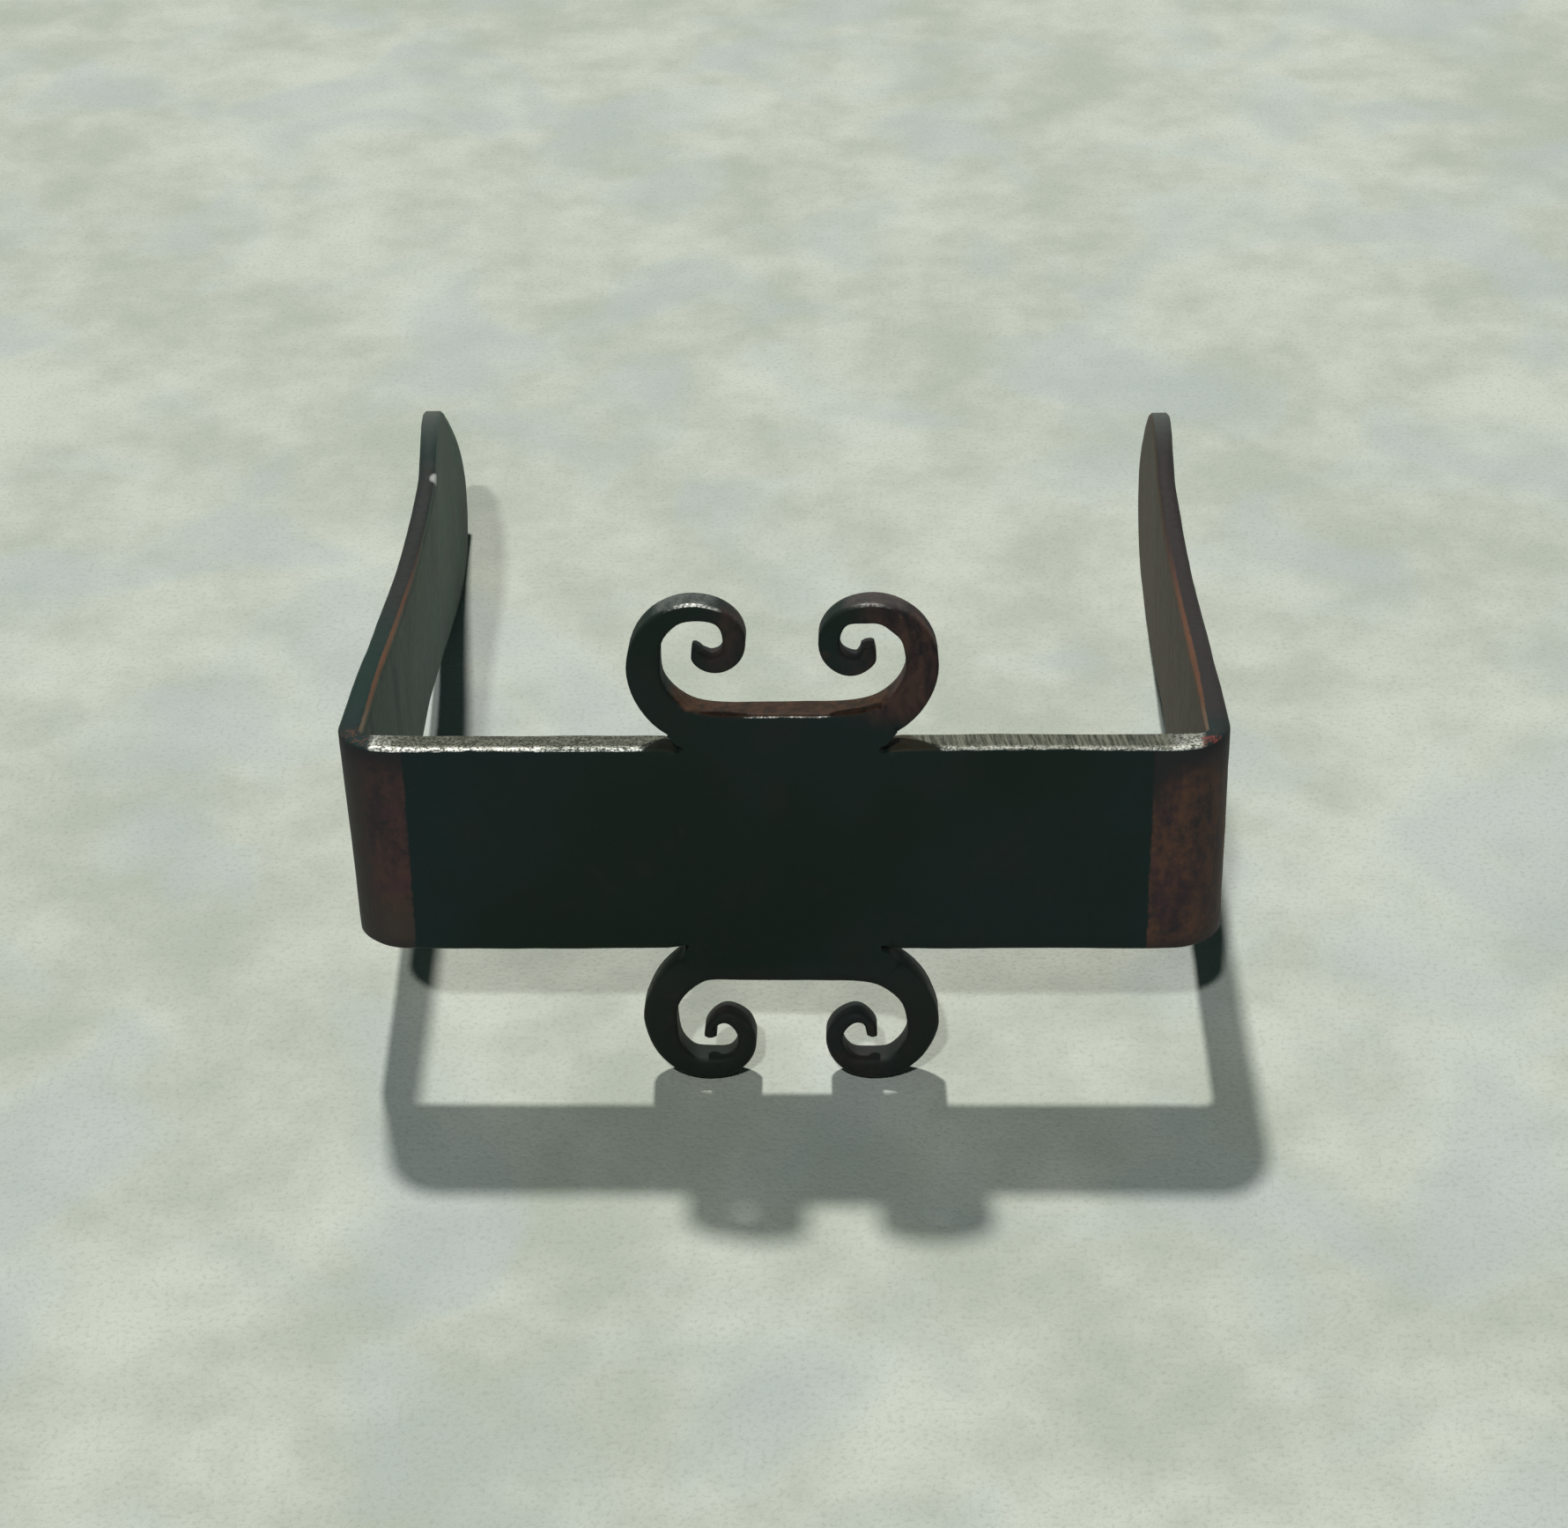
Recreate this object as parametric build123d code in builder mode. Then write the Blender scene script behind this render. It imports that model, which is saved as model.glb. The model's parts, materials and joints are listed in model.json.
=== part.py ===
"""Forged beam strap: a flat bar bent to a U round a timber beam, its web carrying four curled scrolls.

The strap is one piece of steel. Its web crosses the face of the beam and its two legs run back along the
beam's sides. At the middle of the web four strips are slit from the edges of the bar, drawn down to a taper
and curled towards each other, one pair above the web and one below.

Everything is drawn with the bar level: X across the web, Y back along the legs from the web's face, Z up the
web from the bar's lower edge. The finished strap is then tipped back until it stands as it does on a floor,
on its two lower scrolls and the heels of its legs.
"""
import os
from math import atan2, cos, degrees, radians, sin

from build123d import *

# ---- the bar -------------------------------------------------------------------------------------------
strap_width = 255.0  # across the outsides of the two legs
bar_height = 65.0
web_thickness = 10.0
bend_outer_radius = 16.0
bend_inner_radius = 3.0
edge_bevel = 0.8

# ---- the legs ------------------------------------------------------------------------------------------
left_leg_length = 308.0  # from the web's face to the nose of the leg
right_leg_length = 303.0
leg_root_thickness = 7.2
leg_thickness = 6.0  # where the flare starts
tip_thickness = 6.6
flare_start = 192.0
flare_radius = 180.0  # of the gentle bend there
waist_depth = 160.0  # back from the web's face to where a leg is narrowest from top to bottom
waist_fall = 1.8  # of a leg's upper edge there, below the bar's
left_waist_rise = 5.0  # of its lower edge there, above the bar's
right_waist_rise = 1.5
spread_setback = 54.0  # from the nose to where a leg is widest, hammered out thin
spread_rise = 4.5  # of its upper edge there, above the bar's
spread_drop = 1.2  # of its lower edge there, below the bar's
nose_height = 28.0
nose_shoulder = 19.0  # how far the rounded corners of the leg's end stand short of the nose

# Each leg along its upper and lower edge: how far its outside stands past half the strap's width at the bend,
# where the flare starts and at the nose.
left_upper_offsets = (-0.2, -0.8, 10.4)
left_lower_offsets = (-2.6, 1.4, 3.9)
right_upper_offsets = (-0.2, -1.3, 4.2)
right_lower_offsets = (-0.4, 0.4, 2.7)

# ---- the middle of the web and its scrolls -------------------------------------------------------------
upper_centre_rise = 10.5  # of the web's middle above the upper edge of the bar
lower_centre_rise = 11.0  # and below the lower edge
centre_flat = 13.0  # half the length of its level edge
lower_scroll_reach = 44.6  # of the scrolls that it stands on, past the lower edge of the bar
upper_scroll_reach = 44.5
scroll_depth = 9.9  # front to back at the root of a scroll
scroll_tip_depth = 7.6
scroll_bevel = 0.8
scroll_root_turn = 32.0  # the direction in which a scroll leaves the web, in degrees from level
scroll_root_length = 9.0  # of the straight root sunk in the web
scroll_step = 22.0  # turn from one section to the next
slit_root = 27.5  # from the middle of the strap to the end of each slit
slit_length = 7.0
slit_gap = 2.2

# Each scroll: which side, which edge, how far its side stands from the middle, the direction at its tip in
# degrees from level, and its radius and width at the root and after every quarter turn.
scrolls = (
    (-1, 1, 42.8, 460.0, (20.2, 18.9, 13.0, 8.2, 5.6, 3.0), (11.0, 8.6, 4.8, 5.4, 3.5, 2.3)),
    (1, 1, 44.0, 465.0, (23.6, 18.0, 13.2, 8.6, 5.7, 3.5), (10.0, 8.7, 4.8, 5.1, 4.2, 2.6)),
    (-1, -1, 41.3, 450.0, (25.2, 19.0, 12.4, 8.7, 5.3, 5.2), (10.9, 8.4, 5.4, 5.4, 2.9, 2.3)),
    (1, -1, 44.2, 460.0, (24.0, 18.4, 12.7, 8.5, 5.5, 4.2), (11.4, 8.0, 5.2, 4.5, 2.7, 2.1)),
)


def at_turn(values, turn):
    """The value at a turn in degrees, on a smooth curve through those given for every quarter turn."""
    place = min(turn / 90.0, len(values) - 1.0)
    lower = min(int(place), len(values) - 2)
    share = place - lower
    start, end = values[lower], values[lower + 1]
    before = values[lower - 1] if lower > 0 else 2 * start - end
    after = values[lower + 2] if lower + 2 < len(values) else 2 * end - start
    bend = 2 * before - 5 * start + 4 * end - after + share * (3 * (start - end) + after - before)
    return start + 0.5 * share * (end - before + share * bend)


def scroll_path(end_turn, radii):
    """Stations (turn, across, out) of a scroll's middle line, whose radius changes with every quarter turn."""
    turn, across, out = 0.0, 0.0, 0.0
    stations = [(turn, across, out)]
    while turn < end_turn:
        step = min(2.0, end_turn - turn)
        middle = turn + step / 2
        travel = at_turn(radii, middle) * radians(step)
        across += travel * cos(radians(middle))
        out += travel * sin(radians(middle))
        turn += step
        stations.append((turn, across, out))
    return stations


def scroll_sections(edge, side_reach, end_turn, radii, widths):
    """Stations to loft through, set so that the scroll reaches just as far sideways and outwards as it should."""
    path = scroll_path(end_turn, radii)
    reach = upper_scroll_reach if edge > 0 else lower_scroll_reach
    widest = max(across + at_turn(widths, turn) / 2 * sin(radians(turn)) for turn, across, _ in path)
    highest = max(out - at_turn(widths, turn) / 2 * cos(radians(turn)) for turn, _, out in path)
    shifted = [(turn, across + side_reach - widest, out + reach - highest) for turn, across, out in path]
    count = round((end_turn - scroll_root_turn) / scroll_step)
    chosen = []
    for index in range(count + 1):
        wanted = scroll_root_turn + index * (end_turn - scroll_root_turn) / count
        chosen.append(min(shifted, key=lambda station: abs(station[0] - wanted)))
    return chosen


def side_point(station, widths, inside):
    """The point on the inner (1) or outer (-1) side of a scroll at a station, as (across, out)."""
    turn, across, out = station
    half_width = inside * at_turn(widths, turn) / 2
    return across - half_width * sin(radians(turn)), out + half_width * cos(radians(turn))


def edge_height(edge):
    """Height of the bar's upper edge (1) or lower edge (-1)."""
    return bar_height if edge > 0 else 0.0


def leg_outline(leg_length, waist_rise):
    """The outline of a leg's side, from its upper edge at the bend round the nose to its lower edge there."""
    above = bar_height + spread_rise
    spread_depth = leg_length - spread_setback
    points = [
        (bend_outer_radius * 2, bar_height),
        (waist_depth, bar_height - waist_fall),
        (spread_depth, above),
        (leg_length - nose_shoulder, nose_height + (above - nose_height) * 0.56),
        (leg_length, nose_height),
        (leg_length - nose_shoulder, nose_height * 0.14),
        (spread_depth + nose_shoulder * 0.9, -spread_drop),
        (waist_depth, waist_rise),
        (bend_outer_radius * 2, 0),
    ]
    return points


legs = ((-1, left_leg_length, left_waist_rise), (1, right_leg_length, right_waist_rise))


def bar_plan(height, left_offsets, right_offsets):
    """The U seen from above at a height: a bar bent round two corners, its legs thinning to flared tips."""
    half = strap_width / 2
    with BuildSketch(Plane.XY.offset(height)) as plan:
        with BuildLine():
            left_bend, left_waist, left_tip = [-half - offset for offset in left_offsets]
            right_bend, right_waist, right_tip = [half + offset for offset in right_offsets]
            left_end = left_leg_length + 4.0
            right_end = right_leg_length + 4.0
            left_inner = left_waist + leg_thickness
            right_inner = right_waist - leg_thickness
            left_root = left_bend + leg_root_thickness
            right_root = right_bend - leg_root_thickness
            Polyline((left_waist, flare_start), (left_bend, 0), (right_bend, 0), (right_waist, flare_start))
            Polyline((right_waist, flare_start), (right_tip, right_end), (right_tip - tip_thickness, right_end),
                     (right_inner, flare_start))
            Polyline((right_inner, flare_start), (right_root, web_thickness), (left_root, web_thickness),
                     (left_inner, flare_start))
            Polyline((left_inner, flare_start), (left_tip + tip_thickness, left_end), (left_tip, left_end),
                     (left_waist, flare_start))
        make_face()
        fillet(plan.vertices().group_by(Axis.Y)[2], flare_radius)
        fillet(plan.vertices().group_by(Axis.Y)[1], bend_inner_radius)
        fillet(plan.vertices().group_by(Axis.Y)[0], bend_outer_radius)
    return plan.sketch


def leaned(upper, lower, share):
    """Offsets at a share of the bar's height, along the lean between its lower and upper edges."""
    return [low + (high - low) * share for high, low in zip(upper, lower)]


with BuildPart() as centre:
    # The web's middle, whose shoulders run out into the inner sides of the scrolls.
    for edge in (1, -1):
        base = edge_height(edge)
        inset = base - edge * bar_height / 4
        top = base + edge * (upper_centre_rise if edge > 0 else lower_centre_rise)
        with BuildSketch(Plane.XZ) as middle:
            with BuildLine():
                Line((-centre_flat, top), (centre_flat, top))
                Line((-slit_root, inset), (slit_root, inset))
                for side, scroll_edge, side_reach, end_turn, radii, widths in scrolls:
                    if scroll_edge == edge:
                        root = scroll_sections(edge, side_reach, end_turn, radii, widths)[0]
                        inner_across, inner_out = side_point(root, widths, 1)
                        outer_across, outer_out = side_point(root, widths, -1)
                        crest = (side * inner_across, base + edge * inner_out)
                        run_out = (side * cos(radians(root[0])), edge * sin(radians(root[0])))
                        Spline((side * centre_flat, top), crest, tangents=[(side, 0), run_out])
                        Polyline(crest, (side * outer_across, base + edge * outer_out),
                                 (side * (slit_root + slit_gap / 2), base), (side * slit_root, inset))
            make_face()
        extrude(amount=-web_thickness)
    crests = centre.edges().filter_by(lambda edge: abs(edge.center().Z - bar_height / 2) > bar_height / 2 + 9.4)
    chamfer(crests.filter_by(lambda edge: edge.length > web_thickness + 1), scroll_bevel)

with BuildPart() as beam_strap:
    # The bent bar, its legs leaning a little from lower edge to upper, taller than needed at first.
    for share in (-0.15, 1.15):
        left_offsets = leaned(left_upper_offsets, left_lower_offsets, share)
        right_offsets = leaned(right_upper_offsets, right_lower_offsets, share)
        add(bar_plan(bar_height * share, left_offsets, right_offsets))
    loft(ruled=True)

    far = bar_height
    # The outline of each side: level at the web, waisted along the leg, spread and rounded at its end.
    for side, leg_length, waist_rise in legs:
        points = leg_outline(leg_length, waist_rise)
        with BuildSketch(Plane.YZ) as waste:
            with BuildLine():
                Spline(*points, tangents=[(1, 0), (-1, 0)])
                Polyline(points[-1], (-far, 0), (-far, -far), (leg_length + far, -far), (leg_length + far, 2 * far),
                         (-far, 2 * far), (-far, bar_height), points[0])
            make_face()
        extrude(amount=side * strap_width, mode=Mode.SUBTRACT)

    # How the strap stands: on the back of its lower scrolls and the lowest points of its heels.
    foot_depth = web_thickness - (web_thickness - scroll_depth) / 2
    heel_points = []
    for side, leg_length, waist_rise in legs:
        outline = Spline(*leg_outline(leg_length, waist_rise), tangents=[(1, 0), (-1, 0)])
        heel_points += [outline @ (step / 400) for step in range(200, 401)]
    slopes = [atan2(point.Y + lower_scroll_reach, point.X - foot_depth) for point in heel_points if point.X > waist_depth]
    tip_back = min(slopes)

    # The arrises of the bar and of the ends of its legs are bevelled.
    long_edges = beam_strap.edges().filter_by(lambda edge: abs((edge % 0.5).Z) < 0.9 or edge.center().Y > flare_start)
    chamfer(long_edges, edge_bevel)

    # The middle of the web rises past the edges of the bar and runs out into the roots of the scrolls.
    add(centre.part)

    # The scrolls, each a loft through sections square to its middle line.
    for side, edge, side_reach, end_turn, radii, widths in scrolls:
        stations = scroll_sections(edge, side_reach, end_turn, radii, widths)
        turn, across, out = stations[0]
        root_across = across - scroll_root_length * cos(radians(turn))
        root_out = out - scroll_root_length * sin(radians(turn))
        for turn, across, out in [(turn, root_across, root_out)] + stations:
            share = (turn - scroll_root_turn) / (end_turn - scroll_root_turn)
            depth = scroll_depth + (scroll_tip_depth - scroll_depth) * share
            setback = (web_thickness - scroll_depth) / 2
            origin = (side * across, setback + depth / 2, edge_height(edge) + edge * out)
            along = (side * cos(radians(turn)), 0, edge * sin(radians(turn)))
            with BuildSketch(Plane(origin=origin, x_dir=(0, 1, 0), z_dir=along)) as section:
                Rectangle(depth, at_turn(widths, turn))
                chamfer(section.vertices(), scroll_bevel)
        loft()

    # The slits that freed the scrolls from the bar, with rounded ends.
    for side in (1, -1):
        for edge in (1, -1):
            with BuildSketch(Plane.XZ) as slit:
                with Locations((side * (slit_root + slit_length / 2), edge_height(edge) + edge * 0.4)):
                    SlotOverall(slit_length, slit_gap, rotation=side * edge * 14.0)
            extrude(amount=-web_thickness * 2, both=True, mode=Mode.SUBTRACT)

print("tips back", round(degrees(tip_back), 3), "degrees")
beam_strap.part.orientation = (-degrees(tip_back), 0, 0)
box = beam_strap.part.bounding_box()
beam_strap.part.position = (-box.center().X, -box.center().Y, -box.min.Z)
print("moved by", [round(-value, 3) for value in (box.center().X, box.center().Y, box.min.Z)])
beam_strap.part.label = "beam_strap"
os.makedirs("parts", exist_ok=True)
export_step(beam_strap.part, "parts/beam_strap.step")
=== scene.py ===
"""A forged beam strap on a pale floor: black scale, rusty bends, bare cut edges and four curled scrolls."""

import json
import math

import bmesh
import bpy
from bpy.props import FloatProperty, FloatVectorProperty, PointerProperty
from mathutils import Color, Matrix, Vector, noise


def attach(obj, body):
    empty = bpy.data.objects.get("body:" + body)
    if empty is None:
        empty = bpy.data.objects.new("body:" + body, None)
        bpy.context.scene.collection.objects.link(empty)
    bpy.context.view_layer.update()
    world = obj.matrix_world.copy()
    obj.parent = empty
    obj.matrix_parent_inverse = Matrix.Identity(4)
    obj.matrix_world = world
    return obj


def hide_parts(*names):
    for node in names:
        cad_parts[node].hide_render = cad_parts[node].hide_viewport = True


bl_info = {
    "name": "Forged beam strap",
    "version": (1, 0, 0),
    "blender": (4, 5, 0),
    "location": "3D View > Sidebar > Beam strap",
    "description": "Dresses a forged beam strap with its scale, rust and bare metal and sets it on a floor",
    "category": "Object",
}

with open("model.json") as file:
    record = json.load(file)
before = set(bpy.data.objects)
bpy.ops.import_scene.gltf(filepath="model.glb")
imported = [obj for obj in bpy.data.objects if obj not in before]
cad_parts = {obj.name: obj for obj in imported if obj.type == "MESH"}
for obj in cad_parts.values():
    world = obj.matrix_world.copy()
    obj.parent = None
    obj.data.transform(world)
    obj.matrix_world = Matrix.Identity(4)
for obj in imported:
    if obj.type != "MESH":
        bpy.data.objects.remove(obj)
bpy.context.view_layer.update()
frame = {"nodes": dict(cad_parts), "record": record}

# The bar's own axes in the scene: across the web, back along the legs, and up the web from its lower edge.
BAR_HEIGHT = 0.065
WEB_THICKNESS = 0.010
face_mount = next(mount for mount in frame["record"]["mounts"] if mount["name"] == "beam_face")
ACROSS = Vector((1.0, 0.0, 0.0))
BACK = Vector(face_mount["axis"]).normalized()
UP = ACROSS.cross(BACK)
BAR_ORIGIN = Vector(face_mount["pos_m"]) - BACK * WEB_THICKNESS - UP * (BAR_HEIGHT / 2)
MM_PER_M = 1000

# Making the surface finer: how many times an edge may be halved, and how close two points are one.
MOST_HALVINGS = 7
SAME_POINT = 1e-6

# The curls' facets are finer than the rest: where the upper and lower curls begin and how deep they are, in
# millimetres along the bar's own axes, and the share of the usual facet that they get.
UPPER_CURLS_FROM = 80
LOWER_CURLS_FROM = -14
CURLS_DEPTH = 12
CURL_FACET_SHARE = 0.5

# Places where the curls are fuller than an even taper, in millimetres: how far across and up each one is, how
# far it reaches, and how far the metal stands out there, across and up.
FULLER = (
    # The upper left curl.
    (-32.8, 91.6, 7.5, 0.9, 0.0), (-15.8, 97.2, 6.5, -1.05, 0.3), (-23.0, 103.6, 5.5, 0.0, -0.6),
    (-18.6, 93.0, 5.0, 0.0, 1.2), (-21.6, 92.4, 3.2, 0.8, 0.2), (-26.4, 91.0, 5.5, -0.9, -0.1),
    (-26.0, 87.0, 4.5, -0.4, -0.5), (-24.0, 95.6, 2.6, 0.1, 0.8), (-21.4, 95.0, 2.4, 0.0, -0.5),
    # The upper right curl.
    (33.5, 94.0, 7.0, -0.7, 0.0), (18.4, 97.2, 6.5, 1.15, 0.3), (24.0, 102.6, 6.0, 0.0, -1.9),
    (30.2, 101.2, 6.0, -0.5, -1.0), (19.6, 92.8, 5.0, 0.0, 1.2), (22.9, 93.4, 3.0, -1.2, 0.4),
    (28.4, 91.4, 5.5, 0.95, 0.0), (27.6, 86.6, 4.5, 0.4, -0.5), (24.7, 96.2, 3.6, 0.0, 1.6),
    # The lower left curl.
    (-31.0, -27.0, 7.5, 1.0, 0.0), (-43.5, -22.5, 8.0, -0.6, 0.0), (-17.0, -20.3, 8.0, 0.0, 1.4),
    (-10.4, -24.4, 5.0, 0.4, 0.4), (-22.0, -37.3, 6.0, 0.0, 1.6), (-20.9, -30.2, 3.4, 1.6, 0.0),
    (-23.0, -31.0, 3.0, 0.0, -0.8),
    # The lower right curl.
    (34.0, -25.0, 7.0, -0.7, 0.0), (47.0, -25.5, 11.0, 0.8, 0.0), (20.8, -20.4, 8.0, 0.0, 1.5),
    (14.0, -24.0, 5.0, -0.4, 0.4), (9.7, -29.0, 7.0, -0.8, 0.0), (25.0, -37.6, 6.0, 0.0, 1.3),
    (24.0, -29.0, 3.2, -1.2, 0.0),
)

# The hammer's marks: which pattern they take, how closely the broad and the small ones lie, how much weaker
# the small ones are, and how far their pattern is moved off the broad ones'.
HAMMER_SEED = 7
BROAD_MARKS = 42.0
SMALL_MARKS = 160.0
SMALL_SHARE = 0.35
SMALL_SHIFT = Vector((7.0, 3.0, 1.0))

# Where the surface turns by more than this, its arris stays crisp.
SHARP_ANGLE = math.radians(28)

# The sockets of a Mix node that carry its share and its colours.
MIX_SHARE, MIX_FIRST, MIX_SECOND, MIX_RESULT = 0, 6, 7, 2

# The stage, in metres: how far the floor reaches each way, and how far off the lamps hang.
FLOOR_REACH = 6
LAMP_DISTANCE = 2

# The way to each lamp, the key's along the bar's own axes and the fill's in the scene, its spread in degrees
# and its colour, and the colour of the sky.
KEY_TOWARD, KEY_SPREAD, KEY_COLOUR = (-0.108, 0.393, 1.0), 3.2, (1.0, 0.99, 0.96)
FILL_TOWARD, FILL_SPREAD, FILL_COLOUR = (-0.15, -0.72, 1.0), 3.0, (0.97, 1.0, 0.99)
SKY_COLOUR = (0.6, 1.0, 0.97, 1.0)
SEEING_RAYS = ("Is Camera Ray", "Is Glossy Ray", "Is Transmission Ray")
SCREEN_WHITE = 255

# Where the camera stands, in millimetres, and which way it looks, along the bar's own axes: across, back, up.
CAMERA_PLACE = (26.81, -793.12, 468.54)
CAMERA_RIGHT = (0.999571, 0.025109, -0.015049)
CAMERA_AHEAD = (-0.029213, 0.888787, -0.457388)

# The width of its frame in millimetres, and how far it sees in metres.
FRAME_WIDTH = 36.0
FARTHEST_SEEN = 50.0


def way(across, back, up):
    """A direction in the scene from its parts along the bar's own axes."""
    return ACROSS * across + BACK * back + UP * up


def along_bar(spot):
    """A spot in the scene in millimetres along the bar's own axes: across, back and up."""
    return [(spot - BAR_ORIGIN).dot(axis) * MM_PER_M for axis in (ACROSS, BACK, UP)]


def fuller(spot):
    """How far the surface stands out at a spot on the strap, as a vector in the scene."""
    across, _, up = along_bar(spot)
    moved = Vector()
    for middle_across, middle_up, reach, out_across, out_up in FULLER:
        near = math.hypot(across - middle_across, up - middle_up) / reach
        if near < 1:
            moved += way(out_across, 0, out_up) * (1 - near * near) ** 2 / MM_PER_M
    return moved


def fineness(spot):
    """The share of the usual facet to use at a spot on the strap."""
    _, back, up = along_bar(spot)
    on_curl = (up > UPPER_CURLS_FROM or up < LOWER_CURLS_FROM) and back < CURLS_DEPTH
    return CURL_FACET_SHARE if on_curl else 1.0


def make_triangles(work):
    """Cuts a mesh's larger faces into triangles."""
    bmesh.ops.triangulate(work, faces=[face for face in work.faces if len(face.verts) > 3])


def refine(work, facet):
    """Halves a mesh's long edges, round by round, until none is longer than its facet."""
    bmesh.ops.remove_doubles(work, verts=work.verts, dist=SAME_POINT)
    for _ in range(MOST_HALVINGS):
        long_edges = [edge for edge in work.edges if edge.calc_length() > facet * fineness(edge.verts[0].co)]
        if not long_edges:
            break
        bmesh.ops.subdivide_edges(work, edges=long_edges, cuts=1, use_grid_fill=False, use_single_edge=True)
        make_triangles(work)
        bmesh.ops.dissolve_degenerate(work, dist=SAME_POINT, edges=work.edges)
        make_triangles(work)


def hammer(work, wander):
    """Fills out the curls and leaves the whole surface a little uneven."""
    noise.seed_set(HAMMER_SEED)
    for vert in work.verts:
        vert.co += fuller(vert.co)
        broad = noise.noise_vector(vert.co * BROAD_MARKS)
        small = noise.noise_vector(vert.co * SMALL_MARKS + SMALL_SHIFT)
        vert.co += broad * wander + small * wander * SMALL_SHARE
    bmesh.ops.recalc_face_normals(work, faces=work.faces)


def shade(colour):
    """A screen's colour as the linear one that a shader takes."""
    return (*Color(colour).from_srgb_to_scene_linear(), 1.0)


class Value:
    """A number in a material. Arithmetic on it adds the nodes that work it out."""

    def __init__(self, sheet, socket):
        self.sheet = sheet
        self.socket = socket

    def math(self, operation, *others):
        inputs = dict(enumerate((self,) + others))
        return self.sheet.add("ShaderNodeMath", {"operation": operation}, inputs)

    def __add__(self, other):
        return self.math("ADD", other)

    def __sub__(self, other):
        return self.math("SUBTRACT", other)

    def __rsub__(self, other):
        return self.math("MULTIPLY_ADD", -1.0, other)

    def __mul__(self, other):
        return self.math("MULTIPLY", other)

    __radd__ = __add__
    __rmul__ = __mul__

    def size(self):
        return self.math("ABSOLUTE")

    def most(self, other):
        return self.math("MAXIMUM", other)

    def least(self, other):
        return self.math("MINIMUM", other)

    def rise(self, low, high):
        """0 below low, 1 above high and smooth between; high may be the lower of the two."""
        settings = {"interpolation_type": "SMOOTHSTEP"}
        ends = {"From Min": low, "From Max": high, "To Min": 0.0, "To Max": 1.0}
        if high < low:
            ends = {"From Min": high, "From Max": low, "To Min": 1.0, "To Max": 0.0}
        return self.sheet.add("ShaderNodeMapRange", settings, {"Value": self, **ends})


class Sheet:
    """The nodes of one material or sky, with the group of settings that holds its colours."""

    def __init__(self, owner, look):
        self.owner = owner
        self.look = look
        owner.use_nodes = True
        self.tree = owner.node_tree
        self.tree.nodes.clear()

    def node(self, kind, settings=None, inputs=None):
        made = self.tree.nodes.new(kind)
        for key, setting in (settings or {}).items():
            setattr(made, key, setting)
        for key, source in (inputs or {}).items():
            socket = made.inputs[key]
            if isinstance(source, Value):
                self.tree.links.new(source.socket, socket)
            else:
                socket.default_value = source
        return made

    def add(self, kind, settings=None, inputs=None, output=0):
        return Value(self, self.node(kind, settings, inputs).outputs[output])

    def tone(self, colour):
        """A colour from the name of its setting. One that is mixed already stays as it is."""
        return shade(getattr(self.look, colour)) if isinstance(colour, str) else colour

    def mix(self, share, first, second):
        """A colour that goes from first to second as share goes from 0 to 1."""
        inputs = {MIX_SHARE: share, MIX_FIRST: self.tone(first), MIX_SECOND: self.tone(second)}
        return self.add("ShaderNodeMix", {"data_type": "RGBA", "blend_type": "MIX"}, inputs, MIX_RESULT)

    def mottle(self, spot, scale, detail=3.0, rough=0.5, distortion=0.0):
        """Blotches between 0 and 1, scale of them to a metre."""
        inputs = {"Vector": spot, "Scale": scale, "Detail": detail, "Roughness": rough}
        inputs["Distortion"] = distortion
        return self.add("ShaderNodeTexNoise", {"noise_dimensions": "3D"}, inputs)

    def along(self, vector, direction, start=0.0):
        """How far a vector reaches along a direction, past start."""
        inputs = {0: vector, 1: direction}
        return self.add("ShaderNodeVectorMath", {"operation": "DOT_PRODUCT"}, inputs, "Value") - start

    def stretched(self, vector, amounts):
        return self.add("ShaderNodeVectorMath", {"operation": "MULTIPLY"}, {0: vector, 1: amounts})

    def turned(self, vector, angles, lengths):
        """A vector as seen by axes turned by angles, each so many times as long."""
        inputs = {"Vector": vector, "Rotation": angles, "Scale": lengths}
        return self.add("ShaderNodeMapping", {"vector_type": "TEXTURE"}, inputs)

    def bump(self, depth, strength, distance):
        """A surface's normal, pitted and raised by a depth."""
        return self.add("ShaderNodeBump", {}, {"Strength": strength, "Distance": distance, "Height": depth})

    def surface(self, inputs):
        """Ends the sheet in a plain surface and gives its material."""
        shader = self.add("ShaderNodeBsdfPrincipled", {}, inputs)
        self.node("ShaderNodeOutputMaterial", {}, {"Surface": shader})
        return self.owner


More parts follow.
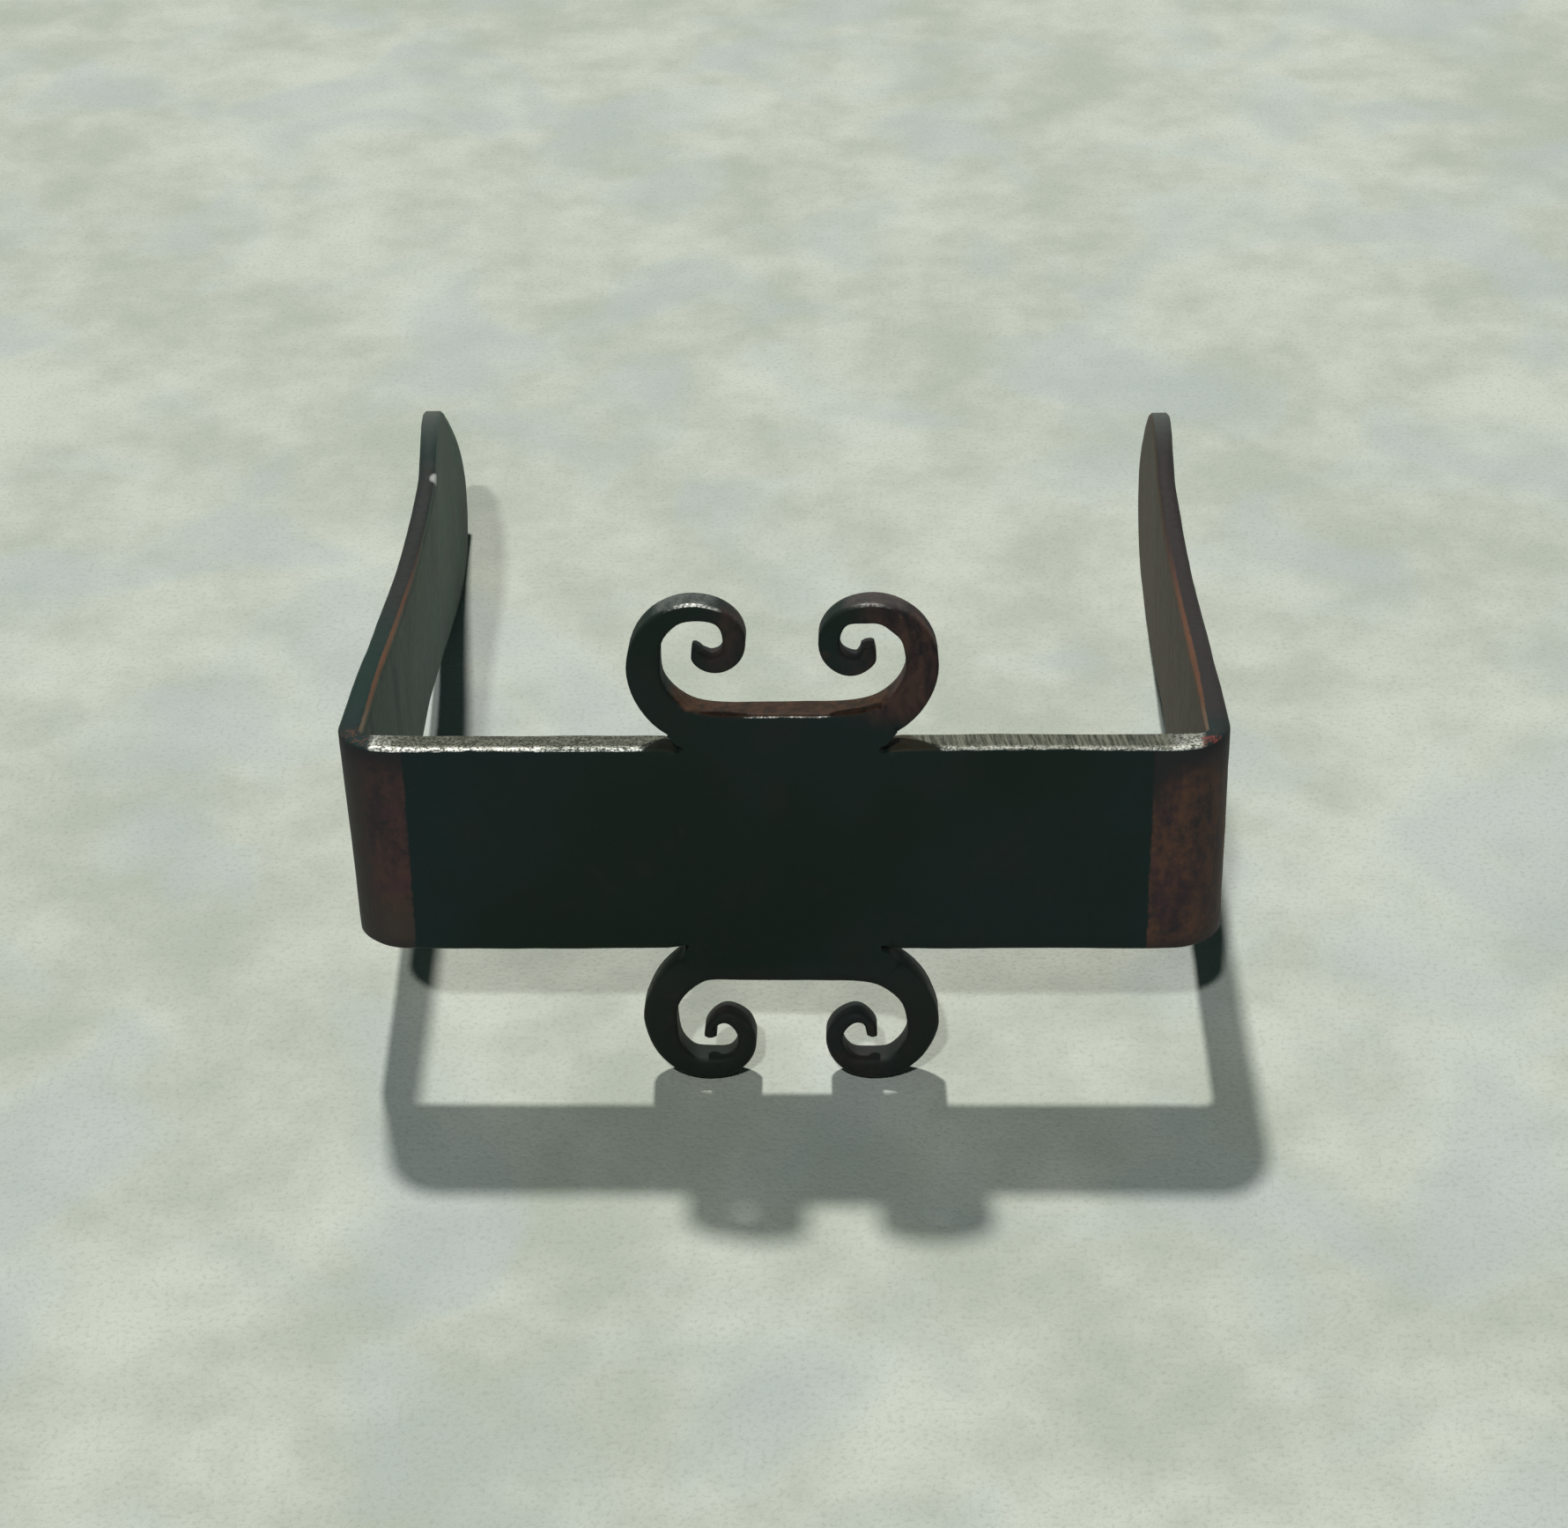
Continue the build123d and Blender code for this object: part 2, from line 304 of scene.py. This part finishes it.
class ForgedSteel(Sheet):
    """The strap's steel: black scale, brown rust at the bends and the crest, and bare metal on the cut edges,
    with painted light and shade: a sheen on the crowns, highlights on the arrises and tips, and the scrolls'
    shadow on the upper edge.

    Its numbers are millimetres along the bar's own axes, and shares from 0 to 1. Each layer covers the ones
    that were laid before it.
    """

    def __init__(self, finish):
        super().__init__(bpy.data.materials.new("forged steel"), finish)
        where = self.add("ShaderNodeTexCoord", output="Object")
        facing = self.add("ShaderNodeNewGeometry", output="Normal")
        axes = (ACROSS, BACK, UP)
        places = [self.along(where, axis, BAR_ORIGIN.dot(axis)) * MM_PER_M for axis in axes]
        self.across, self.back, self.up = places
        faces_across, self.faces_back, self.faces_up = [self.along(facing, axis) for axis in axes]
        self.out = self.across.size()
        self.right = self.across.rise(-2.0, 2.0)
        self.left = 1 - self.right
        self.faces_in = faces_across * (1 - self.right * 2)
        self.upward = self.faces_up.rise(0.45, 0.75)

        # The patterns that the layers share, from broad clouds to fine grain, then streaks and scores.
        self.cloud = self.mottle(where, 13.0, 2.0, 0.5)
        self.blotch = self.mottle(where, 48.0, 4.0, 0.6)
        self.fleck = self.mottle(where, 330.0, 4.0, 0.7)
        self.grain = self.mottle(where, 1300.0, 2.0, 0.7)
        self.streak = self.mottle(self.stretched(where, (1.0, 1.0, 0.22)), 170.0, 4.0, 0.6)
        self.broad_streak = self.mottle(self.stretched(where, (1.0, 1.0, 0.3)), 75.0, 3.0, 0.5)
        self.mark = self.mottle(self.stretched(where, (1.0, 1.0, 0.5)), 120.0, 4.0, 0.65, 0.6)
        self.cut = self.mottle(self.turned(where, (0.0, 0.0, 0.12), (1.0, 16.0, 16.0)), 1300.0, 3.0, 0.6)

        # On the web or its scrolls, and behind the web.
        self.in_front = self.back.rise(14.0, 11.0)
        self.behind = self.back.rise(10.5, 13.0)

        # The upper edge of the bar, and the part of it that is clear of the bends and of the scrolls' cast
        # shadow there, which is painted: bare metal stops at that shadow's slanting edge.
        self.on_edge = self.up.rise(63.9, 64.3) * self.up.rise(66.2, 65.6)
        self.clear = (self.out + self.back * (0.76 + self.right * 0.3) - self.right * 6.0).rise(38.6, 39.8)
        self.bare_length = self.clear * (self.out + self.left * 2.4).rise(120.0, 118.0)
        self.speckle = (self.grain * 0.7 + self.fleck * 0.3).rise(0.42, 0.6)

    def lay(self, tone, share):
        """Covers a share of the colour so far with a tone."""
        self.colour = self.mix(share, self.colour, tone)

    def lay_scale(self):
        """Scale: near black, green in some places and blue in others, browner and paler along the legs, with
        a painted highlight on the upper faces of the legs' tips.
        """
        self.colour = self.mix((self.cloud + self.out * 0.0012).rise(0.42, 0.66), "scale_green", "scale_blue")
        self.lay("scale_brown", self.blotch.rise(0.52, 0.72) * 0.45)
        self.lay("scale_teal", self.out.rise(84.0, 98.0) * self.blotch.rise(0.4, 0.6) * 0.5)
        brown_stretch = self.back.rise(70.0, 120.0) * self.back.rise(225.0, 185.0) * (0.3 + self.cloud * 0.6)
        self.leg_tone = self.mix(brown_stretch, self.mix(self.right, "leg_left", "leg_right"), "leg_brown")
        self.lay(self.leg_tone, self.back.rise(9.0, 30.0) * (0.6 + self.blotch * 0.5).least(1.0))
        # Painted highlight: the upper faces of the legs' tips are laid a lighter grey.
        tip_top = self.back.rise(205.0, 250.0) * self.faces_up.rise(0.4, 0.7)
        self.lay("tip_highlight", tip_top * (0.4 + self.fleck * 0.8).least(1.0))

    def lay_bloom(self):
        """A paler bloom inside the legs, streaked up and down, and stained near the bends."""
        inside = self.faces_in.rise(0.5, 0.8) * self.behind
        left_bloom = self.mix(self.blotch.rise(0.42, 0.62) * 0.6, "bloom_left", "bloom_grey")
        bloom = self.mix(self.right, left_bloom, "bloom_right")
        self.lay(bloom, inside * (self.streak * 0.6 + self.cloud * 0.7).rise(0.2, 0.6))
        stain = self.broad_streak.rise(0.46, 0.64) * (0.8 - self.right * 0.5) * self.back.rise(140.0, 40.0)
        self.lay(self.leg_tone, inside * stain)

    def lay_bend_rust(self):
        """Rust outside each bend, ending in a clean line on the web and short of the upper edge."""
        out, up, right = self.out, self.up, self.right
        light_rust = self.mix(right, "rust_left", "rust_right")
        rust = self.mix((self.fleck * 0.5 + self.streak * 0.5).rise(0.36, 0.62), "rust_dark", light_rust)
        rust = self.mix(self.blotch.rise(0.5, 0.66) * 0.6, rust, "rust_purple")
        grey_part = self.left * up.rise(22.0, 8.0).most(out.rise(117.0, 122.0))
        rust = self.mix(grey_part * 0.7, rust, "rust_grey")

        line = 107.2 - right * 2.5
        past_line = (out - line + (self.fleck - 0.5) * 1.6).rise(-0.4, 0.5)
        outside = self.faces_up.rise(0.6, 0.3) * self.faces_in.rise(0.4, 0.0) * self.faces_back.rise(0.6, 0.2)
        bend = past_line * self.back.rise(36.0, 22.0) * outside
        top = 59.0 - right * (113.0 - out).most(0.0) * 1.1
        below_top = (top - up + (self.blotch - 0.5) * 26.0).rise(-6.0, 8.0)
        above_foot = 0.4 + up.rise(0.5, 5.0) * 0.6
        before_leg = 1 - out.rise(113.0, 123.0) * (0.55 - right * 0.3)
        self.lay("rust_dark", bend * 0.7)
        self.lay(rust, bend * below_top * above_foot * before_leg)

    def lay_scroll_patina(self):
        """Brown and purple over the upper right scroll, and a little brown in the curls of the others."""
        out, up = self.out, self.up
        patina = self.mix(self.mark.rise(0.36, 0.64), "patina_dark", "patina_light")
        patina = self.mix(self.fleck.rise(0.62, 0.72) * 0.6, patina, "patina_fleck")
        upper_right = up.rise(70.0, 78.0) * self.in_front * self.right * out.rise(16.0, 30.0)
        curls = out.rise(26.0, 12.0) * up.rise(84.0, 90.0) + up.rise(-8.0, -20.0)
        in_curls = curls * (self.blotch + self.fleck * 0.3).rise(0.6, 0.8) * 0.5
        tinted = upper_right * (0.45 + self.blotch * 0.7) + in_curls
        self.lay(patina, tinted.least(1.0) * self.in_front)

    def lay_crest_and_crowns(self):
        """A brown crest between the upper scrolls, and a painted sheen on the scrolls' crowns: their upper
        faces are laid grey on the left, and purple-brown with patina on the right.
        """
        out, up = self.out, self.up
        crest = self.upward * up.rise(66.5, 70.0) * up.rise(90.0, 80.0) * out.rise(37.0, 28.0)
        self.lay(self.mix(self.fleck.rise(0.3, 0.7), "crest_dark", "crest_light"), crest)
        top = self.faces_up.rise(0.72, 0.9) * up.rise(98.0, 106.0) * self.in_front
        self.crown = top * out.rise(16.0, 20.0) * out.rise(38.0, 33.0)
        # Painted sheen: the crowns' upper faces are laid lighter, as a reflection would make them.
        crown_sheen_tone = self.mix(self.right, "crown_sheen_left", "crown_patina_and_sheen_right")
        self.lay(crown_sheen_tone, self.crown * (self.fleck * 0.8 + self.grain * 0.5).rise(0.42, 0.8))

    def lay_leg_rims(self):
        """Orange rust along the inner upper arris of each leg, paler beside the bend."""
        back = self.back
        edge = 120.9 + back.rise(12.0, 60.0) * 0.7 + (self.fleck - 0.5) * 0.8
        length = self.behind * back.rise(185.0, 110.0)
        rim = (edge - self.out).rise(-0.3, 0.3) * self.faces_up.rise(0.25, 0.5) * length
        tone = self.mix(back.rise(36.0, 14.0), "rust_orange", "rust_pale")
        tone = self.mix(back.rise(80.0, 165.0), tone, "patina_light")
        self.lay(tone, rim * (0.25 + self.blotch * 0.8) * self.faces_in.rise(-0.2, 0.1))

    def lay_nick_and_glint(self):
        """A nick on the inner corner of the left leg's tip, laid near white: bare metal with a painted glint.
        """
        aside, along, over = self.out - 121.4, self.back - 195.0, self.up - 67.6
        near = (aside * aside + along * along * 0.35 + over * over).rise(5.5, 1.5)
        self.lay("nick_and_glint", near * self.left * 0.8)

    def lay_lower_scrolls(self):
        """The lower scrolls are a little paler and browner than the web."""
        self.lay("scroll_low", self.up.rise(-3.0, -12.0) * (0.25 + self.blotch * 0.5))

    def lay_bare_edge(self):
        """Bare metal on the upper edge beside the scrolls: speckled on the left, scored on the right. It
        stops at the scrolls' cast shadow, where painted shade is left: dark scale with a brown tone.
        """
        out, back, right = self.out, self.back, self.right
        edge = self.upward * self.on_edge
        corner = edge * (out - right * 2.0).rise(113.0, 115.5) * back.rise(16.0, 11.0)
        flecks = (self.fleck * 0.5 + self.grain * 0.5).rise(0.5, 0.6) * (0.45 - right * 0.35)
        self.lay("rust_orange", corner * flecks)

        self.bare = edge * back.rise(11.5, 10.4) * self.bare_length
        score = (self.cut * 0.8 + self.grain * 0.2).rise(0.38, 0.62)
        dull = self.mix(self.speckle * self.left + score * right, "metal_dark", "metal_mid")
        front = back.rise(3.0, 1.2) * (0.5 + self.blotch)
        self.brightness = front * (0.62 - right * 0.36) + out.rise(107.0, 116.0) * 0.5
        metal = self.mix((self.brightness * self.speckle * 1.3).least(1.0), dull, "metal_bright_and_highlight")
        self.lay(metal, self.bare)
        # Painted shade: a brown tone over the dark scale in the scrolls' cast shadow on the upper edge.
        self.lay("scroll_shadow_tone", edge * (1 - self.clear) * (0.35 + right * 0.4))

    def lay_rubbed_arris_and_highlight(self):
        """The front arris's chamfer gets bright bare metal and a painted highlight: on the crest, the crowns
        and the bare edge.
        """
        up, across, right = self.up, self.across, self.right
        crest = up.rise(72.0, 74.0) * up.rise(78.0, 76.5) * across.rise(-11.0, -9.0) * across.rise(14.5, 12.5)
        crest = crest * self.back.rise(0.65, 0.35) * 0.6
        crowns = up.rise(100.0, 106.0) * (self.out - right * 4.0).rise(15.0, 19.0) * self.out.rise(32.5, 27.5)
        crowns = crowns * (0.75 - right * 0.4)
        edge = self.on_edge * self.bare_length * (0.45 - right * 0.1)
        arris = self.faces_up.rise(0.4, 0.55) * self.faces_back.rise(-0.35, -0.5)
        self.rubbed_and_highlight = (arris * (crest + crowns + edge) * (0.2 + self.speckle)).least(1.0)
        # Painted highlight: near white on the chamfers that face up and to the front.
        self.lay("metal_bright_and_highlight", self.rubbed_and_highlight)

    def lay_scab(self):
        """A scab of red rust on the corner at the right end of the edge."""
        across = self.across
        spot = self.on_edge * across.rise(117.5, 119.0) * across.rise(124.5, 122.0) * self.back.rise(9.0, 6.5)
        self.lay("scab", self.upward * spot * (self.fleck * 0.6 + self.grain * 0.4).rise(0.47, 0.54))

    def finished(self):
        """Lays every layer and gives the material."""
        self.lay_scale()
        self.lay_bloom()
        self.lay_bend_rust()
        self.lay_scroll_patina()
        self.lay_crest_and_crowns()
        self.lay_leg_rims()
        self.lay_nick_and_glint()
        self.lay_lower_scrolls()
        self.lay_bare_edge()
        self.lay_rubbed_arris_and_highlight()
        self.lay_scab()
        depth = self.fleck * (0.35 + self.bare * 0.4) + self.grain * 0.25 + self.blotch * 0.6
        rough = 0.6 - self.bare * 0.1 - self.rubbed_and_highlight * 0.2 - self.crown * 0.12 + (self.fleck - 0.5) * 0.3
        return self.surface({
            "Base Color": self.colour,
            "Metallic": (self.rubbed_and_highlight + self.bare * self.brightness * 0.7 + self.bare * 0.15).least(1.0) * 0.8,
            "Roughness": rough,
            "Specular IOR Level": 0.12,
            "Coat Weight": self.crown * 0.2,
            "Coat Roughness": 0.4,
            "Normal": self.bump(depth, 0.4, 0.0006),
        })


def floor_material(studio):
    """A pale floor, faintly clouded and pitted."""
    sheet = Sheet(bpy.data.materials.new("pale floor"), studio)
    where = sheet.add("ShaderNodeTexCoord", output="Object")
    broad = sheet.mottle(where, 7.0, 3.0, 0.55)
    cloud = sheet.mottle(where, 26.0, 4.0, 0.62)
    tint = sheet.mottle(where, 12.0, 2.0, 0.5, 0.6)
    pit = sheet.mottle(where, 640.0, 3.0, 0.7)
    colour = sheet.mix((broad * 0.5 + cloud * 0.5).rise(0.36, 0.64), "floor_dark", "floor_light")
    colour = sheet.mix(tint.rise(0.48, 0.66) * 0.55, colour, "floor_cool")
    colour = sheet.mix(pit.rise(0.52, 0.3) * 0.35, colour, "floor_pit")
    return sheet.surface({
        "Base Color": colour,
        "Roughness": 0.9,
        "Specular IOR Level": 0.15,
        "Normal": sheet.bump(pit * 0.6 + cloud * 0.4, 0.5, 0.0012),
    })


def make_sky(studio):
    """A dim sky, and a plain backdrop wherever the sky itself would be seen."""
    sheet = Sheet(bpy.data.worlds.new("sky"), studio)
    path = sheet.node("ShaderNodeLightPath")
    camera, glossy, clear = [Value(sheet, path.outputs[ray]) for ray in SEEING_RAYS]
    sky = sheet.add("ShaderNodeBackground", {}, {"Color": SKY_COLOUR, "Strength": studio.sky_strength})
    backdrop = sheet.add("ShaderNodeBackground", {}, {"Color": sheet.tone("backdrop")})
    blend = sheet.add("ShaderNodeMixShader", {}, {0: camera.most(glossy).most(clear), 1: sky, 2: backdrop})
    sheet.node("ShaderNodeOutputWorld", {}, {"Surface": blend})
    return sheet.owner


def make_lamp(name, toward, strength, spread, colour):
    """A distant lamp that stands in a direction, with its spread in degrees."""
    light = bpy.data.lights.new(name, "SUN")
    light.energy = strength
    light.angle = math.radians(spread)
    light.color = colour
    lamp = bpy.data.objects.new(name, light)
    lamp.rotation_euler = toward.to_track_quat("Z", "Y").to_euler()
    lamp.location = toward.normalized() * LAMP_DISTANCE
    return lamp


def make_camera(lens):
    """A camera at its place, looking at the strap."""
    data = bpy.data.cameras.new("camera")
    data.sensor_fit = "HORIZONTAL"
    data.sensor_width = FRAME_WIDTH
    data.lens = lens
    data.clip_end = FARTHEST_SEEN
    camera = bpy.data.objects.new("camera", data)
    right = way(*CAMERA_RIGHT).normalized()
    behind = -way(*CAMERA_AHEAD).normalized()
    turn = Matrix((right, behind.cross(right).normalized(), behind)).transposed()
    place = BAR_ORIGIN + way(*CAMERA_PLACE) / MM_PER_M
    camera.matrix_world = Matrix.Translation(place) @ turn.to_4x4()
    return camera


def swatch(name, where, *parts):
    """A setting for a colour, its red, green and blue given on a screen's scale."""
    return FloatVectorProperty(name=name, description=where, default=[part / SCREEN_WHITE for part in parts],
                               subtype="COLOR_GAMMA", min=0.0, max=1.0)


class StrapFinish(bpy.types.PropertyGroup):
    """The strap's colours and how far its surface wanders from true."""

    wander: FloatProperty(name="Wander", description="How far hammering leaves the surface from true",
                          default=0.00025, min=0.0, max=0.001, unit="LENGTH")
    facet: FloatProperty(name="Facet", description="Longest edge of the dressed surface's mesh off the curls",
                         default=0.0044, min=0.002, max=0.01, unit="LENGTH")
    scale_green: swatch("Green scale", "Green-black scale", 27, 39, 32)
    scale_blue: swatch("Blue scale", "Blue-black scale, towards the bends", 32, 43, 43)
    scale_teal: swatch("Teal scale", "Patches of scale beside the bends", 24, 48, 47)
    scale_brown: swatch("Brown scale", "Brown-black patches of scale", 42, 41, 38)
    leg_left: swatch("Left leg", "Scale on the left leg", 28, 48, 44)
    leg_right: swatch("Right leg", "Scale on the right leg", 53, 47, 46)
    leg_brown: swatch("Brown on the legs", "Browner scale at the legs' middles", 54, 46, 46)
    # A painted highlight on the upper faces of the legs' tips.
    tip_highlight: swatch("Grey tips", "Upper edges of the legs' tips", 86, 91, 87)
    bloom_left: swatch("Bloom, left", "Bloom inside the left leg", 74, 92, 82)
    bloom_right: swatch("Bloom, right", "Bloom inside the right leg", 76, 65, 54)
    bloom_grey: swatch("Bloom, grey", "Greyer bloom inside the left leg", 76, 80, 80)
    rust_dark: swatch("Dark rust", "Darker rust at both bends", 52, 47, 50)
    rust_left: swatch("Light rust, left", "Lighter rust at the left bend", 84, 62, 58)
    rust_right: swatch("Light rust, right", "Lighter rust at the right bend", 96, 69, 58)
    rust_purple: swatch("Purple rust", "Patches of rust at both bends", 76, 52, 62)
    rust_grey: swatch("Grey rust", "Rust low on the left bend and round it", 68, 64, 58)
    rust_orange: swatch("Orange rust", "Rust along the legs' inner arrises", 122, 82, 60)
    rust_pale: swatch("Pale rust", "The same rust beside the bends", 130, 110, 92)
    # A painted glint on the nick.
    nick_and_glint: swatch("Nick", "Nick on the left leg's tip", 200, 201, 196)
    scab: swatch("Scab", "Red rust at the right corner", 132, 66, 60)
    scroll_low: swatch("Lower scrolls", "Scale on the lower scrolls", 46, 47, 44)
    patina_dark: swatch("Dark patina", "Darker patina on the scrolls", 42, 36, 40)
    patina_light: swatch("Light patina", "Lighter patina on the scrolls", 84, 61, 56)
    patina_fleck: swatch("Pale flecks", "Flecks in the scrolls' patina", 120, 96, 78)
    crest_dark: swatch("Dark crest", "Darker brown between the upper scrolls", 38, 30, 24)
    crest_light: swatch("Light crest", "Lighter brown between the upper scrolls", 76, 54, 40)
    # Painted sheen on the crowns' upper faces; the right one's brown and purple is also patina.
    crown_sheen_left: swatch("Left crown", "Top of the upper left scroll", 96, 100, 96)
    crown_patina_and_sheen_right: swatch("Right crown", "Top of the upper right scroll", 72, 64, 62)
    # Painted shade: the tone in the scrolls' cast shadow on the upper edge.
    scroll_shadow_tone: swatch("Beside the scrolls", "Upper edge beside the scrolls' roots", 74, 68, 52)
    metal_dark: swatch("Dull metal", "Dullest bare metal", 56, 58, 48)
    metal_mid: swatch("Bare metal", "Plain bare metal", 118, 119, 106)
    # Bright bare metal, also used as the painted highlight on the front arrises.
    metal_bright_and_highlight: swatch("Bright metal", "Rubbed bare metal", 226, 226, 218)


class StudioLook(bpy.types.PropertyGroup):
    """The floor, the lamps and the camera."""

    floor_dark: swatch("Floor, darker", "Darker clouds in the floor", 189, 196, 183)
    floor_light: swatch("Floor, lighter", "Lighter clouds in the floor", 215, 220, 208)
    floor_pit: swatch("Floor, pits", "Pits in the floor", 160, 164, 151)
    floor_cool: swatch("Floor, cooler", "Cooler patches of the floor", 192, 200, 201)
    backdrop: swatch("Backdrop", "What is seen beyond the floor", 150, 157, 151)
    key_strength: FloatProperty(name="Key lamp", description="Strength of the lamp behind the strap",
                                default=2.38, min=0.0)
    fill_strength: FloatProperty(name="Fill lamp", description="Strength of the lamp in front of the strap",
                                 default=1.05, min=0.0)
    sky_strength: FloatProperty(name="Sky", description="Strength of the light from all round",
                                default=0.03, min=0.0)
    lens: FloatProperty(name="Lens", description="Focal length on a 36 mm wide frame",
                        default=72.83, min=20.0, unit="CAMERA")


class STRAP_OT_forge(bpy.types.Operator):
    """Makes the strap's surface from its solid, a little uneven from the hammer, and gives it its finish"""

    bl_idname = "beam_strap.forge"
    bl_label = "Forge the strap"

    def execute(self, context):
        finish = context.scene.strap_finish
        solid = frame["nodes"]["beam_strap"]
        work = bmesh.new()
        work.from_mesh(solid.data)
        work.transform(solid.matrix_world)
        refine(work, finish.facet)
        hammer(work, finish.wander)
        mesh = bpy.data.meshes.new("forged_strap")
        work.to_mesh(mesh)
        work.free()
        mesh.shade_smooth()
        mesh.set_sharp_from_angle(angle=SHARP_ANGLE)
        mesh.materials.append(ForgedSteel(finish).finished())
        strap = bpy.data.objects.new("forged_strap", mesh)
        context.scene.collection.objects.link(strap)
        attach(strap, "root")
        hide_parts("beam_strap")
        return {"FINISHED"}


class STRAP_OT_stage(bpy.types.Operator):
    """Lays the floor, hangs the lamps and sets the camera"""

    bl_idname = "beam_strap.stage"
    bl_label = "Set the stage"

    def execute(self, context):
        scene = context.scene
        studio = scene.strap_studio
        mesh = bpy.data.meshes.new("floor")
        corners = [(x * FLOOR_REACH, y * FLOOR_REACH, 0) for x, y in ((-1, -1), (1, -1), (1, 1), (-1, 1))]
        mesh.from_pydata(corners, [], [(0, 1, 2, 3)])
        mesh.materials.append(floor_material(studio))
        floor = bpy.data.objects.new("floor", mesh)
        scene.collection.objects.link(floor)

        key = make_lamp("key", way(*KEY_TOWARD), studio.key_strength, KEY_SPREAD, KEY_COLOUR)
        fill = make_lamp("fill", Vector(FILL_TOWARD), studio.fill_strength, FILL_SPREAD, FILL_COLOUR)
        camera = make_camera(studio.lens)
        for item in (key, fill, camera):
            scene.collection.objects.link(item)
        scene.camera = camera
        scene.world = make_sky(studio)
        scene.view_settings.view_transform = "Standard"
        return {"FINISHED"}


class STRAP_PT_panel(bpy.types.Panel):
    """The strap's colours, its making and its stage"""

    bl_idname = "STRAP_PT_panel"
    bl_label = "Beam strap"
    bl_space_type = "VIEW_3D"
    bl_region_type = "UI"
    bl_category = "Beam strap"

    def draw(self, context):
        for group in (context.scene.strap_finish, context.scene.strap_studio):
            box = self.layout.box()
            for name in group.__annotations__:
                box.prop(group, name)
        for operator in (STRAP_OT_forge, STRAP_OT_stage):
            self.layout.operator(operator.bl_idname)


CLASSES = (StrapFinish, StudioLook, STRAP_OT_forge, STRAP_OT_stage, STRAP_PT_panel)


def register():
    for item in CLASSES:
        bpy.utils.register_class(item)
    bpy.types.Scene.strap_finish = PointerProperty(type=StrapFinish)
    bpy.types.Scene.strap_studio = PointerProperty(type=StudioLook)


def unregister():
    del bpy.types.Scene.strap_studio
    del bpy.types.Scene.strap_finish
    for item in reversed(CLASSES):
        bpy.utils.unregister_class(item)


def main():
    register()
    bpy.ops.beam_strap.forge()
    bpy.ops.beam_strap.stage()


if __name__ == "__main__":
    main()
